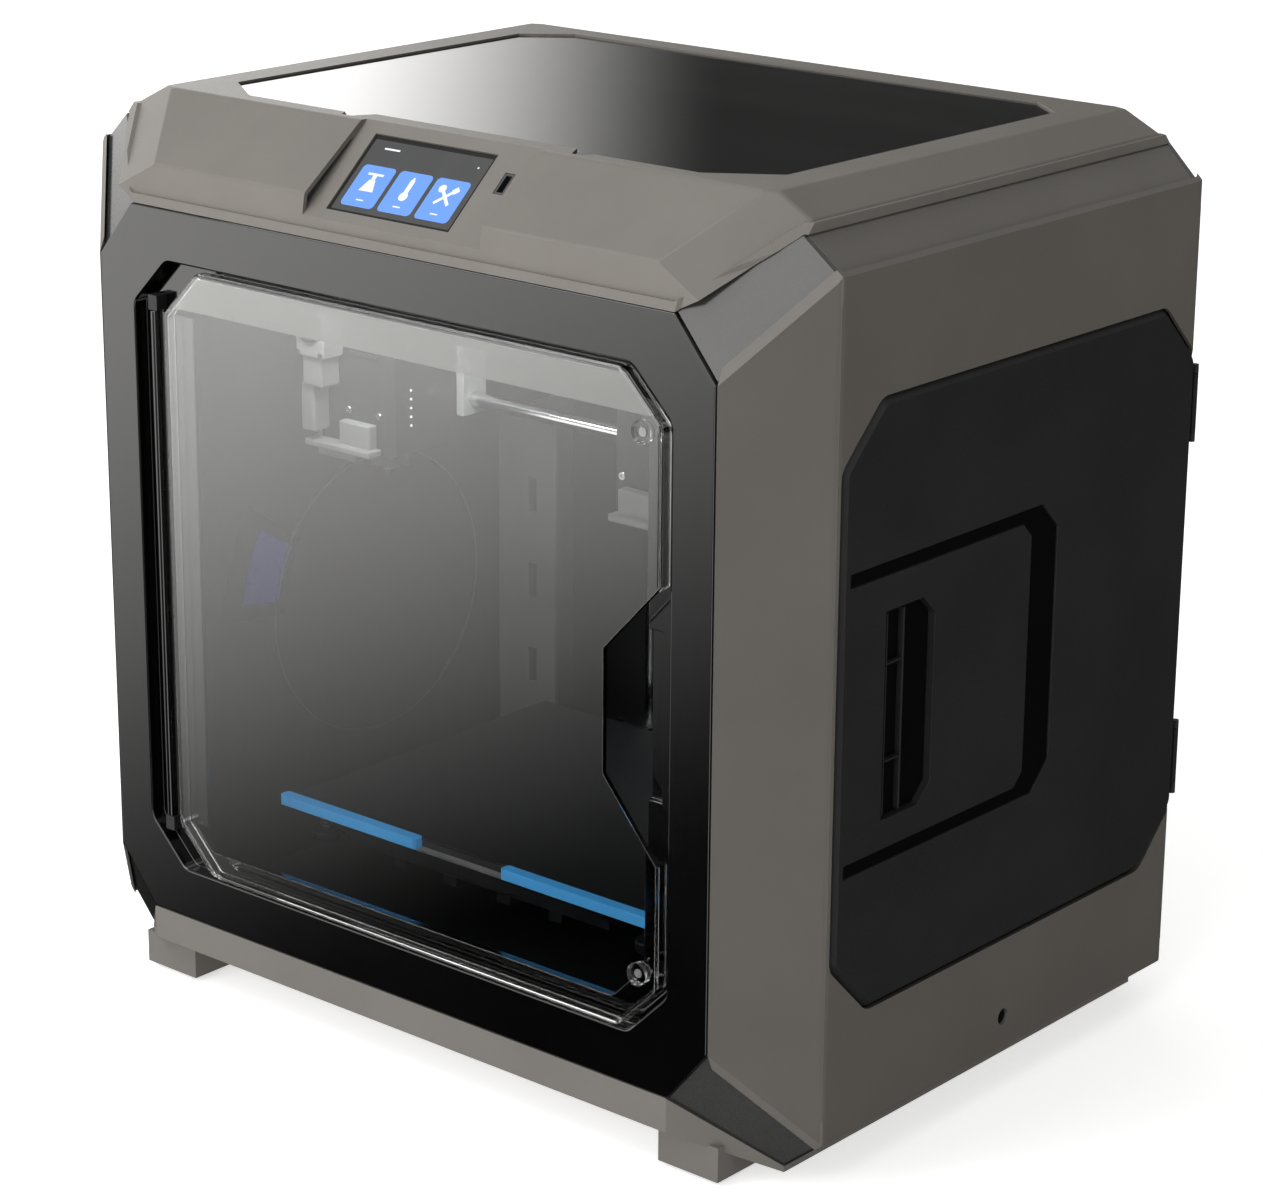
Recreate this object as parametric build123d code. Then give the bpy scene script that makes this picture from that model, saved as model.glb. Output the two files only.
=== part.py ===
from build123d import *
import math
import os

# Enclosed desktop 3-D printer with two independent print heads, in millimetres.
# It is drawn with X to the right, Y from the front bezel's plane towards the back and Z up from
# the floor. save() then moves every piece by SHIFT_Y, so the origin is the centre of the footprint.
os.makedirs("parts", exist_ok=True)

# Overall size
WIDTH = 627.0
DEPTH = 485.0
HEIGHT = 615.0
DOOR_PROUD = 6.0                       # the front door stands this far out of the bezel
BACK = DEPTH - DOOR_PROUD              # back plane
MID_Y = BACK / 2
SHIFT_Y = DOOR_PROUD - DEPTH / 2

# Side pods and their bevels
SIDE_DOOR_PROUD = 1.5
POD_X = WIDTH / 2 - SIDE_DOOR_PROUD
FRAME_X = 261.5                        # half-width of the flat front and back
POD_IN = FRAME_X + 0.5
SKIN = 3.0
MIRROR_Z = 303.5                       # height the front frame is symmetric about
FRAME_TOP = 549.6
FRAME_BOTTOM = 2 * MIRROR_Z - FRAME_TOP
CORNER_X = 230.0                       # where the frame's corner cuts start on its top edge
CORNER_Z = 511.6                       # and on its side edge
SHOULDER_TOP = 595.0
POD_TOP = 574.0
TRIM = 3.3
RIM = 3.0                              # thickness of the pod's outer wall
STEP = 2.4                             # its edges stand this far out of the slopes and inserts
POD_ROUND = 8.0                        # radius along the pod's upright edges
SIDE_BOLT = (241.0, 54.5)              # y and z of the bolt low on each pod

# Base
BASE_Z = 8.0
BASE_FRONT_Z = 34.0                    # the front strip's lower edge
FOOT = (210.0, 258.0, 17.0, 55.0)
FOOT_WALL = 4.0
FOOT_ROOF = 22.0                       # a rubber pad fills the hollow foot up to here

# Top cover
LIP_X = 286.0
LIP_Y = 47.3
LIP_H = 6.0
LIP_PROUD = 2.0                        # the lip stands no further than this out of the cover
COVER_X = 257.0
COVER_Y = 57.0
FASCIA_TOP = (6.0, 576.0)
FASCIA_BOTTOM = (3.0, 556.0)
COVER_ROUND = 5.0
COVER_PLATE = 11.0                     # thickness of its flat top
LID_X = 231.0
LID_Y0 = 64.0
LID_Y1 = 401.0
LID_T = 4.0
LID_Z = HEIGHT - 1.4 - LID_T
LID_FRONT_CUT = (41.0, 36.0)
LID_BACK_CUT = (31.0, 25.0)
GAP = 0.6                              # clearance round lids and doors

# Front door and its recess
RECESS = (-229.0, 229.0, 93.0, 515.0, 31.0)
RECESS_DEPTH = 10.0
BEZEL_T = 16.0
APERTURE = (-205.0, 205.0, 108.0, 500.0, 26.0)
DOOR = (-196.0, 226.0, 97.0, 513.0, 31.0)
DOOR_ROUND = 9.0
DOOR_PLATE = 3.5
DOOR_RIM = 3.0
DOOR_BACK = 4.0
DOOR_PIN = (-213.0, 4.0)

# Side doors
SIDE_Y0 = 54.0
SIDE_Y1 = 431.5
SIDE_Z0 = 110.0
SIDE_Z1 = 496.5
SIDE_CUT = 38.0
SIDE_T = 7.0
SIDE_ROUND = 14.0
SIDE_BEVEL = 4.6
SIDE_PIN = (310.5, 434.0)
SIDE_KNUCKLES = ((160.0, 200.0), (406.0, 446.0))
GROOVE = (277.5, 204.0, 395.6)         # the hook-shaped groove's far edge, bottom and top
GROOVE_BAND = (29.0, 9.0)              # its width where it stands upright, and where it runs level
GROOVE_DEPTH = 1.6
POCKET = (99.0, 148.4, 232.0, 364.5)
POCKET_DEPTH = 5.4

# Chamber, spool bays
WALL_X = 213.0
WALL_T = 3.0
CHAMBER_Y1 = 405.0
FLOOR_Z = 62.0
WALL_TOP = 560.0
BAY = (218.0, 305.5, 62.0, 417.0, 122.0, 485.0)
BAY_CUT = 28.0
SPOOL_Y = 207.0
SPOOL_Z = 240.0
SPOOL_R = 100.0
HUB_R = 25.0
FIT = 0.06                             # radial running clearance

# Motion system
NOZZLE = (130.0, 135.0, 358.0)
ROD_R = 5.0
X_ROD_Y = 178.0
X_ROD_Z = (408.0, 470.0)
Y_ROD_X = 196.5
Y_ROD_Z = 500.0
END_X0 = 188.0
END_X1 = 205.0
BELT_Z = 525.0
PULLEY_R = 6.4
SHAFT_Y = 395.0
Z_ROD = (100.0, 375.0)
SCREW = (60.0, 375.0)
SCREW_R = 4.0
Z_TOP = 385.0

# Build platform
PLATE_TOP = 138.0
PLATE_T = 3.0
PLATE = (-160.0, 160.0, 70.0, 326.0)
GRIP = (38.0, 166.0)                   # each grip reaches from one to the other, across X

# Feeder
GEAR_R = 8.0
IDLER_R = 5.0
FILAMENT = 1.75
FEED_Z = 439.0

made = {}


def save(name, *solids):
    """Keep one node: its solids, moved to the part's own frame."""
    moved = [Location((0, SHIFT_Y, 0)) * s for shape in solids for s in shape.solids()]
    shape = moved[0] if len(moved) == 1 else Compound(children=moved)
    export_step(shape, "parts/" + name + ".step")
    made[name] = shape


def block(x0, x1, y0, y1, z0, z1):
    middle = ((x0 + x1) / 2, (y0 + y1) / 2, (z0 + z1) / 2)
    return Pos(*middle) * Box(abs(x1 - x0), abs(y1 - y0), abs(z1 - z0))


def rod(radius, start, end):
    """A round bar between two points."""
    a = Vector(*start)
    b = Vector(*end)
    plane = Plane(origin=a, z_dir=b - a)
    return extrude(plane * Circle(radius), (b - a).length)


def trim(shape, point, normal, inset=0.0):
    """Remove what lies beyond a plane, which is first moved inwards by the inset."""
    away = Vector(*normal).normalized()
    plane = Plane(origin=Vector(*point) - away * inset, z_dir=away)
    return split(shape, bisect_by=plane, keep=Keep.BOTTOM)


def cut_corners(x0, x1, z0, z1, cut, y0, y1, soft=0.0):
    """A plate across Y with its four corners cut at 45 degrees, and rounded if asked."""
    outline = Polyline(
        (x0 + cut, z0), (x1 - cut, z0), (x1, z0 + cut), (x1, z1 - cut),
        (x1 - cut, z1), (x0 + cut, z1), (x0, z1 - cut), (x0, z0 + cut), close=True)
    face = make_face(outline)
    if soft:
        face = fillet(face.vertices(), soft)
    return Pos(0, y0, 0) * extrude(Plane.XZ * face, -(y1 - y0))


def side_plate(y0, y1, z0, z1, cut, x0, x1, soft=0.0):
    """A plate across X with its four corners cut at 45 degrees."""
    turned = cut_corners(y0, y1, z0, z1, cut, 0, x1 - x0, soft)
    return Pos(x1, 0, 0) * (Rot(0, 0, 90) * turned)


def both_sides(shape):
    return shape, mirror(shape, about=Plane.YZ)


def four_corners():
    """Signs that place one corner's planes at all four corners seen from above."""
    return [(sx, sy) for sx in (1, -1) for sy in (1, -1)]


def at_y(y, sy):
    return y if sy > 0 else BACK - y


def body_hull(inset, slope_inset, corner_inset):
    """The case's outer form below the top cover: bevelled pods with sloping tops and cut corners."""
    hull = block(-POD_X + inset, POD_X - inset, inset, BACK - inset, 8, HEIGHT)
    for sx in (1, -1):
        for sy in (1, -1):
            hull = trim(hull, (sx * FRAME_X, at_y(0, sy), 0), (sx, -sy, 0), inset)
    if inset == 0:
        upright = hull.edges().filter_by(Axis.Z).filter_by(lambda e: abs(e.center().X) > POD_X - 1)
        hull = fillet(upright, POD_ROUND)
    slope = (22.0, 0.0, 25.5)
    for sx in (1, -1):
        hull = trim(hull, (sx * POD_X, 0, POD_TOP), (sx * slope[0], 0, slope[2]), slope_inset)
        low = (sx * POD_X, 0, 2 * MIRROR_Z - POD_TOP)
        hull = trim(hull, low, (sx * slope[0], 0, -slope[2]), slope_inset)
    side = (POD_X, POD_X - FRAME_X, POD_TOP)
    edge = (CORNER_X, 0.0, FRAME_TOP)
    frame = (FRAME_X, 0.0, CORNER_Z)
    normal = (Vector(*edge) - Vector(*frame)).cross(Vector(*side) - Vector(*frame))
    if normal.Z < 0:
        normal = -normal
    for sx, sy in four_corners():
        for sz in (1, -1):
            point = (sx * CORNER_X, at_y(0, sy), MIRROR_Z + sz * (FRAME_TOP - MIRROR_Z))
            away = (sx * normal.X, sy * normal.Y, sz * normal.Z)
            hull = trim(hull, point, away, corner_inset)
    return hull


def pod_rim(clearance):
    """The pods' outer wall, whose edges stand out of the slopes and the corner inserts."""
    return body_hull(0, 0, 0.2 - clearance) - body_hull(RIM + clearance, -20, -20)


def side_shell():
    """Right-hand pod: a thin moulding with the spool bay's door opening."""
    behind = STEP + TRIM + 0.2
    shell = body_hull(0.4, STEP, behind) - body_hull(SKIN, STEP + SKIN, behind + SKIN)
    shell += pod_rim(0)
    reliefs = [relief(1, sy) for sy in (1, -1) for relief in (cover_relief, base_relief)]
    between = reliefs[0] + reliefs[1] + reliefs[2] + reliefs[3]
    shell = shell & between & block(POD_IN, POD_X + 1, -1, BACK + 1, 0, HEIGHT)
    rebate = SIDE_T - SIDE_DOOR_PROUD + 0.3
    shell += block(POD_X - rebate - 2.5, POD_X - rebate, SIDE_Y0 - 2, SIDE_Y1 - 5.5,
                   SIDE_Z0 - 14, SIDE_Z1 + 14)
    shell -= side_plate(SIDE_Y0 - GAP, SIDE_Y1 + GAP, SIDE_Z0 - GAP, SIDE_Z1 + GAP, SIDE_CUT,
                        POD_X - rebate, POD_X + 2, SIDE_ROUND)
    shell -= block(POD_X - rebate, POD_X + 2, SIDE_Y1 - 40, SIDE_Y1 + 9, SIDE_Z0 + 40, SIDE_Z1 - 40)
    shell -= side_plate(BAY[2] - 0.5, BAY[3] + 0.5, BAY[4] - 0.5, BAY[5] + 0.5, BAY_CUT,
                        POD_IN - 2, POD_X + 2)
    shell -= side_bolt(5.6, POD_X - 5, POD_X + 1)
    return max(shell.solids(), key=lambda s: s.volume)


def corner_trims():
    """Glossy inserts that cover the cut corners between the frames and the pods."""
    slabs = body_hull(0, STEP, STEP) - body_hull(0, STEP, STEP + TRIM)
    slabs -= pod_rim(0.2)
    slabs -= front_frame_plate(-1, BEZEL_T + 0.2)
    slabs -= front_frame_plate(BACK - 4.2, BACK + 1)
    keep = []
    for sx, sy in four_corners():
        for sz in (1, -1):
            corner = block(sx * (CORNER_X - 1), sx * POD_X, at_y(-1, sy), at_y(70, sy),
                           MIRROR_Z + sz * 190, MIRROR_Z + sz * 330)
            piece = slabs & corner
            if sz > 0:
                piece = piece & cover_relief(sx, sy)
            else:
                piece = piece & base_relief(sx, sy)
            solids = [s for s in piece.solids() if s.volume > 200]
            keep.append(max(solids, key=lambda s: s.volume))
    return keep


def cover_relief(sx, sy, gap=0.3):
    """The space below the cover's rising skirt at one corner."""
    along = Vector(sx * (LIP_X - CORNER_X), sy * LIP_Y, 0)
    rise = SHOULDER_TOP - FRAME_TOP - 0.4
    start = Vector(sx * CORNER_X, at_y(0, sy), FRAME_TOP + 0.4 - gap)
    ramp = Vector(-along.X * rise, -along.Y * rise, along.length ** 2)
    space = block(0, sx * (POD_X + 5), at_y(-5, sy), MID_Y, 300, SHOULDER_TOP - gap)
    space = trim(space, tuple(start), tuple(-along))
    return trim(space, tuple(start), tuple(ramp))


def base_relief(sx, sy, gap=0.3):
    """The space above the base's falling skirt: the cover's, upside down."""
    return mirror(cover_relief(sx, sy, gap), about=Plane.XY.offset(MIRROR_Z))


def cover_body(inset, top):
    """The top cover's faceted outer form, inset by a wall thickness."""
    half = LIP_X - 1.5 - inset
    body = block(-half, half, inset, BACK - inset, FRAME_TOP + 0.4, top)
    slope_y = FASCIA_TOP[0] - COVER_Y
    slope_z = FASCIA_TOP[1] - HEIGHT
    fascia_y = FASCIA_BOTTOM[0] - FASCIA_TOP[0]
    fascia_z = FASCIA_BOTTOM[1] - FASCIA_TOP[1]
    for sx in (1, -1):
        body = trim(body, (sx * COVER_X, 0, HEIGHT), (sx * 14.0, 0, 27.5), inset)
    for sy in (1, -1):
        body = trim(body, (0, at_y(COVER_Y, sy), HEIGHT), (0, sy * slope_z, -slope_y), inset)
        fascia = (0, at_y(FASCIA_TOP[0], sy), FASCIA_TOP[1])
        body = trim(body, fascia, (0, sy * fascia_z, -fascia_y), inset)
    for sx, sy in four_corners():
        point = (sx * COVER_X, at_y(COVER_Y + 3, sy), HEIGHT)
        body = trim(body, point, (sx * 702, -sy * 1716, 1566), inset)
    return body


def cover_lip():
    """The band along the cover's lower edge, which stands out a little."""
    lip = block(-LIP_X, LIP_X, 0, BACK, FRAME_TOP + 0.4, HEIGHT)
    upper = block(-LIP_X - 1, LIP_X + 1, -1, BACK + 1, FRAME_TOP + 0.4 + LIP_H, HEIGHT + 1)
    for sx, sy in four_corners():
        outward = (sx * LIP_Y, -sy * (LIP_X - CORNER_X), 0)
        lip = trim(lip, (sx * CORNER_X, at_y(0, sy), 0), outward)
        upper -= Pos(0, 0, LIP_H) * cover_relief(sx, sy, 0)
    return (lip - upper) & cover_body(-LIP_PROUD, HEIGHT)


def lid_outline(grow):
    """The lid: its corners cut, its front set back behind the screen, two finger notches."""
    step = LID_Y0 + 14
    notch = LID_Y0 + 7
    front_x = LID_X - LID_FRONT_CUT[0]
    front_y = LID_Y0 + LID_FRONT_CUT[1]
    back_x = LID_X - LID_BACK_CUT[0]
    back_y = LID_Y1 - LID_BACK_CUT[1]
    pts = [(-LID_X, front_y), (-front_x, notch), (-102, notch), (-98, LID_Y0), (-90, LID_Y0),
           (-82, step), (88, step), (96, LID_Y0), (104, LID_Y0), (108, notch), (front_x, notch),
           (LID_X, front_y), (LID_X, back_y), (back_x, LID_Y1), (-back_x, LID_Y1), (-LID_X, back_y)]
    face = make_face(Polyline(*pts, close=True))
    return offset(face, grow, kind=Kind.INTERSECTION) if grow else face


def screen_plane():
    """Origin at the lower edge of the sloping screen panel, Y up the slope."""
    return Plane(origin=(0, 6, 564.5), x_dir=(1, 0, 0), z_dir=(0, -50.5, 56))


def top_cover():
    outer = cover_body(0, HEIGHT)
    outer = fillet(outer.edges().filter_by(lambda e: e.center().Z > FASCIA_TOP[1] - 1), COVER_ROUND)
    cover = outer + cover_lip()
    cover -= cover_body(SKIN, HEIGHT - COVER_PLATE)
    cover -= block(-FRAME_X + 16, FRAME_X - 16, BEZEL_T + 4, BACK - BEZEL_T - 4, 540, 570)
    for sx, sy in four_corners():
        cover -= cover_relief(sx, sy, 0)
    lid_gap = extrude(Pos(0, 0, LID_Z - 0.3) * lid_outline(GAP), HEIGHT)
    opening = block(-LID_X + 10, LID_X - 10, LID_Y0 + 24, LID_Y1 - 10, 590, HEIGHT + 1)
    opening = fillet(opening.edges().filter_by(Axis.Z), 14)
    cover -= lid_gap
    cover -= opening
    # The screen's recess: a floor steeper than the front slope, behind the lip.
    floor = screen_plane()
    cover += (floor * Pos(0, 38, -4.5) * Box(156, 84, 9)) & outer
    recess = floor * Pos(0, 34, 15) * Box(150, 84, 30)
    cover -= recess & block(-80, 80, 2.6, 66, 559, HEIGHT + 5)
    cover -= floor * Pos(-8, 35.5, -2) * Box(104, 61, 6)
    cover -= floor * Pos(62, 46, -2) * Box(8.4, 16.4, 8)
    return max(cover.solids(), key=lambda s: s.volume)


def touch_screen():
    """Display module, seated just below the recess floor."""
    return screen_plane() * Pos(-8, 35.5, -3) * Box(103.4, 60.4, 3.8)


def usb_port():
    """A socket beside the screen, open towards the front."""
    body = screen_plane() * Pos(62, 46, -3) * Box(8, 16, 5.6)
    return body - screen_plane() * Pos(62, 46, -1) * Box(4.6, 12.6, 6.5)


def base_block():
    """The outer form of the base moulding."""
    base = block(-LIP_X, LIP_X, 0, BACK, BASE_Z, FRAME_BOTTOM - 0.4)
    for sx, sy in four_corners():
        outward = (sx * LIP_Y, -sy * (LIP_X - CORNER_X), 0)
        base = trim(base, (sx * CORNER_X, at_y(0, sy), 0), outward)
    for sy in (1, -1):
        under = (0, -sy * (BASE_FRONT_Z - BASE_Z), -LIP_Y)
        base = trim(base, (0, at_y(0, sy), BASE_FRONT_Z), under)
    for sx, sy in four_corners():
        base -= base_relief(sx, sy, 0)
    return base


def base_tray():
    base = base_block()
    base -= block(-FRAME_X + 4, FRAME_X - 4, 50, BACK - 50, BASE_Z + SKIN, 90)
    base -= block(-CORNER_X + 8, CORNER_X - 8, 5, BACK - 5, BASE_FRONT_Z + 2, 90)
    x0, x1, y0, y1 = FOOT
    for sx, sy in four_corners():
        base += block(sx * x0, sx * x1, at_y(y0, sy), at_y(y1, sy), 2.5, FOOT_ROOF + FOOT_WALL)
        base -= block(sx * (x0 + FOOT_WALL), sx * (x1 - FOOT_WALL), at_y(y0 + FOOT_WALL, sy),
                      at_y(y1 - FOOT_WALL, sy), 0, FOOT_ROOF)
    return max(base.solids(), key=lambda s: s.volume)


def rubber_feet():
    pads = []
    x0, x1, y0, y1 = FOOT
    inset = FOOT_WALL + 0.2
    for sx, sy in four_corners():
        pad = block(sx * (x0 + inset), sx * (x1 - inset), at_y(y0 + inset, sy), at_y(y1 - inset, sy),
                    0, FOOT_ROOF)
        pads.append(chamfer(pad.edges().group_by(Axis.Z)[0], 1.0))
    return pads


def front_frame_plate(y0, y1):
    """The octagonal flat of the front or the back."""
    cx = FRAME_X - CORNER_X
    cz = FRAME_TOP - CORNER_Z
    outline = Polyline(
        (-CORNER_X, FRAME_BOTTOM), (CORNER_X, FRAME_BOTTOM), (CORNER_X + cx, FRAME_BOTTOM + cz),
        (FRAME_X, CORNER_Z), (CORNER_X, FRAME_TOP), (-CORNER_X, FRAME_TOP), (-FRAME_X, CORNER_Z),
        (-FRAME_X, FRAME_BOTTOM + cz), close=True)
    return Pos(0, y0, 0) * extrude(Plane.XZ * make_face(outline), -(y1 - y0))


def front_bezel():
    bezel = front_frame_plate(0, BEZEL_T)
    bezel -= cut_corners(*RECESS, -1, RECESS_DEPTH, DOOR_ROUND)
    bezel = chamfer(bezel.edges().group_by(Axis.Y)[0], 0.8)
    bezel -= cut_corners(*APERTURE, -1, BEZEL_T + 1, 6)
    # Finger pocket behind the door's handle notch.
    bezel -= block(190, 216, 2, BEZEL_T - 2.5, 244, 352)
    return bezel


def rear_panel():
    panel = front_frame_plate(BACK - 4, BACK)
    for row in range(9):
        z = 424 + row * 9
        half = 38 - abs(row - 4) * 4
        panel -= block(140 - half, 140 + half, BACK - 5, BACK + 1, z - 2.4, z + 2.4)
    for row in range(6):
        z = 180 + row * 14
        panel -= block(-200, -90, BACK - 5, BACK + 1, z - 2, z + 2)
    panel -= block(-201, -173, BACK - 5, BACK + 1, 96, 116)
    panel -= block(-160, -146, BACK - 5, BACK + 1, 95, 117)
    return panel


def spool_bay():
    """Right-hand spool bay: a tub open towards its door."""
    x0, x1, y0, y1, z0, z1 = BAY
    bay = side_plate(y0, y1, z0, z1, BAY_CUT, x0, x1)
    bay -= side_plate(y0 + 2.5, y1 - 2.5, z0 + 2.5, z1 - 2.5, BAY_CUT - 1, x0 + 2.5, x1 + 1)
    return bay


def spool_hub():
    x0 = BAY[0] + 2.5
    hub = rod(HUB_R, (x0, SPOOL_Y, SPOOL_Z), (x0 + 76, SPOOL_Y, SPOOL_Z))
    return hub - rod(HUB_R - 4, (x0 + 4, SPOOL_Y, SPOOL_Z), (x0 + 80, SPOOL_Y, SPOOL_Z))


def spool():
    """Filament reel: two flanges, a core and the wound filament."""
    x0 = BAY[0] + 6
    x1 = x0 + 68
    reel = rod(SPOOL_R, (x0, SPOOL_Y, SPOOL_Z), (x0 + 3, SPOOL_Y, SPOOL_Z))
    reel += rod(SPOOL_R, (x1 - 3, SPOOL_Y, SPOOL_Z), (x1, SPOOL_Y, SPOOL_Z))
    reel += rod(86, (x0, SPOOL_Y, SPOOL_Z), (x1, SPOOL_Y, SPOOL_Z))
    reel -= rod(HUB_R + FIT, (x0 - 1, SPOOL_Y, SPOOL_Z), (x1 + 1, SPOOL_Y, SPOOL_Z))
    for turn in range(6):
        angle = math.radians(60 * turn)
        y = SPOOL_Y + 58 * math.cos(angle)
        z = SPOOL_Z + 58 * math.sin(angle)
        reel -= rod(14, (x1 - 4, y, z), (x1 + 1, y, z))
        reel -= rod(14, (x0 - 1, y, z), (x0 + 4, y, z))
    return reel


def side_door():
    """Right-hand spool door with its hook-shaped groove, slot handle and knuckle."""
    x1 = WIDTH / 2
    x0 = x1 - SIDE_T
    door = side_plate(SIDE_Y0, SIDE_Y1, SIDE_Z0, SIDE_Z1, SIDE_CUT, x0, x1, SIDE_ROUND)
    door = chamfer(door.edges().group_by(Axis.X)[-1], SIDE_BEVEL)
    groove_y, groove_z0, groove_z1 = GROOVE
    band_y, band_z = GROOVE_BAND
    before = SIDE_Y0 - 60
    groove = side_plate(before, groove_y, groove_z0, groove_z1, 18, x1 - GROOVE_DEPTH, x1 + 1)
    groove -= side_plate(before, groove_y - band_y, groove_z0 + band_z, groove_z1 - band_z, 9,
                         x1 - GROOVE_DEPTH - 1, x1 + 2)
    door -= groove & block(x0, x1 + 2, SIDE_Y0 + 9, groove_y + 1, groove_z0 - 1, groove_z1 + 1)
    y0, y1, z0, z1 = POCKET
    pocket = side_plate(y0 - 30, y1, z0, z1, 12, x1 - POCKET_DEPTH, x1 + 1)
    door -= pocket & block(x0, x1 + 2, y0, y1 + 1, z0 - 1, z1 + 1)
    pin_x, pin_y = SIDE_PIN
    for z0, z1 in SIDE_KNUCKLES:
        knuckle = rod(2.4, (pin_x, pin_y, z0), (pin_x, pin_y, z1))
        knuckle += block(308.4, 312.9, SIDE_Y1 - 1, pin_y, z0, z1)
        door += knuckle
        door -= rod(1 + FIT, (pin_x, pin_y, z0 - 1), (pin_x, pin_y, z1 + 1))
    return door


def side_hinges():
    """Lugs on the right-hand pod's rear bevel, each with a pin into the door's knuckle."""
    lugs = []
    pin_x, pin_y = SIDE_PIN
    for z0, z1 in SIDE_KNUCKLES:
        for z, inward in ((z0, 1), (z1, -1)):
            a = z - inward * 0.4
            b = z - inward * 6
            lug = rod(2.4, (pin_x, pin_y, b), (pin_x, pin_y, a))
            lug += rod(1, (pin_x, pin_y, a), (pin_x, pin_y, z + inward * 12))
            lugs.append(lug)
    return lugs


def door_panel():
    """The clear door: a shallow tray with a notch in its right edge to pull it by."""
    x0, x1, z0, z1, cut = DOOR
    panel = cut_corners(*DOOR, -DOOR_PROUD, DOOR_BACK, DOOR_ROUND)
    panel = fillet(panel.edges().group_by(Axis.Y)[0], 1.8)
    panel -= cut_corners(x0 + DOOR_RIM, x1 - DOOR_RIM, z0 + DOOR_RIM, z1 - DOOR_RIM, cut - 1.5,
                         -DOOR_PROUD + DOOR_PLATE, DOOR_BACK + 1)
    notch = Polyline((x1 + 20, 406), (183, 339), (183, 259), (x1 + 20, 186), close=True)
    panel -= Pos(0, -20, 0) * extrude(Plane.XZ * make_face(notch), -40)
    for z in (135, 476):
        panel += rod(7, (x1 - 17, -DOOR_PROUD + DOOR_PLATE, z), (x1 - 17, DOOR_BACK, z))
    return panel


def door_hinge_bar():
    """Black bar along the door's left side, with the knuckle it turns on."""
    px, py = DOOR_PIN
    bar = rod(4, (px, py, 128), (px, py, 480))
    bar += block(px, -176, DOOR_BACK + 0.2, DOOR_BACK + 3.0, 128, 480)
    bar -= rod(2 + FIT, (px, py, 127), (px, py, 150))
    bar -= rod(2 + FIT, (px, py, 458), (px, py, 481))
    return bar


def door_hinge_blocks():
    """Blocks on the recess floor that hold the door's two pins."""
    px, py = DOOR_PIN
    blocks = []
    for z, inward in ((127.6, 1), (480.4, -1)):
        body = block(px - 4, px + 4, 1, RECESS_DEPTH, z - inward * 10, z)
        pin = rod(2, (px, py, z), (px, py, z + inward * 20))
        blocks.append(body + pin)
    return blocks


def chamber_wall():
    """Right-hand chamber wall with holes for the drive shaft and the filament tube."""
    wall = block(WALL_X, WALL_X + WALL_T, BEZEL_T + 1, CHAMBER_Y1, FLOOR_Z, WALL_TOP)
    wall -= rod(5, (WALL_X - 1, SHAFT_Y, BELT_Z), (WALL_X + 9, SHAFT_Y, BELT_Z))
    wall -= rod(4, (WALL_X - 1, 330, 540), (WALL_X + 9, 330, 540))
    return wall


def chamber_floor():
    plate = block(-WALL_X + 0.3, WALL_X - 0.3, BEZEL_T + 1, CHAMBER_Y1 - 0.3, FLOOR_Z, FLOOR_Z + 3)
    for sx in (1, -1):
        plate -= rod(7, (sx * SCREW[0], SCREW[1], 50), (sx * SCREW[0], SCREW[1], 80))
    return plate


def z_guides():
    """Vertical guide rods, and the bracket on the rear wall that holds their tops."""
    x, y = Z_ROD
    rods = [rod(ROD_R, (sx * x, y, FLOOR_Z + 3), (sx * x, y, Z_TOP)) for sx in (1, -1)]
    bracket = block(-x - 14, x + 14, y - 13, CHAMBER_Y1, Z_TOP, Z_TOP + 7)
    return rods + [bracket]


def z_columns():
    """Sheet-metal guards in front of the chamber's rear corners, slotted."""
    guard = block(150, 205, 326, 329, FLOOR_Z + 3, 350)
    guard += block(202, 205, 329, CHAMBER_Y1, FLOOR_Z + 3, 350)
    for z in (150, 215, 280):
        guard -= block(168, 176, 320, 335, z, z + 26)
    return both_sides(guard)


def z_motors():
    motors = []
    for sx in (1, -1):
        x, y = sx * SCREW[0], SCREW[1]
        motor = block(x - 21, x + 21, y - 21, y + 21, 13, 50)
        motor = chamfer(motor.edges().filter_by(Axis.Z), 4)
        motors.append(motor + rod(11, (x, y, 50), (x, y, 52)))
    return motors


def lead_screw(sx):
    """A motor's screw; the platform's nut runs on it."""
    x, y = sx * SCREW[0], SCREW[1]
    screw = rod(SCREW_R, (x, y, 62), (x, y, Z_TOP - 1))
    return screw + rod(6, (x, y, 52.4), (x, y, 72))


def heater_plate():
    """The heated plate between the carriage and the removable plate."""
    x0, x1, y0, y1 = PLATE
    return block(x0 + 3, x1 - 3, y0 + 4, y1 - 4, PLATE_TOP - 13.8, PLATE_TOP - PLATE_T - 0.2)


def platform_carriage():
    """Two arms under the bed and the crossbar that slides on the guide rods."""
    x, y = Z_ROD
    top = PLATE_TOP - 14
    low = top - 26
    frame = block(-x - 22, x + 22, y - 15, y + 15, low, top)
    for sx in (1, -1):
        frame += block(sx * (x - 12), sx * (x + 12), 96, y, top - 14, top)
        frame -= rod(ROD_R + FIT, (sx * x, y, low - 1), (sx * x, y, top + 1))
        frame -= rod(SCREW_R + 0.4, (sx * SCREW[0], y, low - 1), (sx * SCREW[0], y, top + 1))
    return frame


def platform_grips():
    """Grips on the front edge of the removable plate."""
    grips = []
    for sx in (1, -1):
        grip = block(sx * GRIP[0], sx * GRIP[1], PLATE[2] - 9, PLATE[2] - 0.2,
                     PLATE_TOP - 6.5, PLATE_TOP + 1)
        grips.append(chamfer(grip.edges().filter_by(Axis.Z), 1.8))
    return grips


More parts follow.
